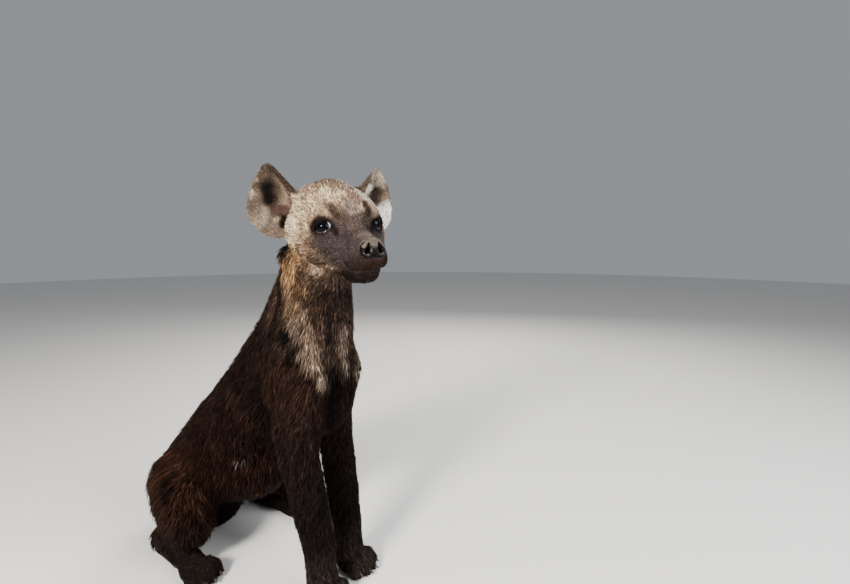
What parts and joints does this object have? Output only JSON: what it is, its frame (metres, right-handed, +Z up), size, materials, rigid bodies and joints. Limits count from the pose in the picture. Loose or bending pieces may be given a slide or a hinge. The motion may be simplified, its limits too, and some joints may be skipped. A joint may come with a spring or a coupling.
{
  "type": "spotted hyena cub model",
  "caption": "Life-size still model of a spotted hyena cub sitting upright on straight forelegs, its head turned to its right, ears up, tail laid along the floor.",
  "frame": {"origin": "on the floor, under the middle of the whole cub's bounding box", "axes": "+Z up; -Y the way the chest faces; +X the cub's own left"},
  "size_m": [0.2402, 0.5054, 0.5446],
  "materials": {
    "face_fur": "short grey-buff fur, dark on the muzzle and round the eyes",
    "neck_fur": "warm tan-brown fur with dark streaks",
    "body_fur": "soft dark brown-black fur",
    "leg_fur": "dark grey-brown fur",
    "ear_fur": "thin short fur over skin",
    "eye": "wet and glossy",
    "nose_leather": "bare damp skin with dust on top"
  },
  "bodies": {
    "root": {"head": "face_fur", "neck": "neck_fur", "torso": "body_fur", "tail": "body_fur", "foreleg_left": "leg_fur", "foreleg_right": "leg_fur", "hindleg_left": "leg_fur", "hindleg_right": "leg_fur", "ear_left": "ear_fur", "ear_right": "ear_fur", "eye_left": "eye", "eye_right": "eye", "nose": "nose_leather"}
  },
  "joints": []
}
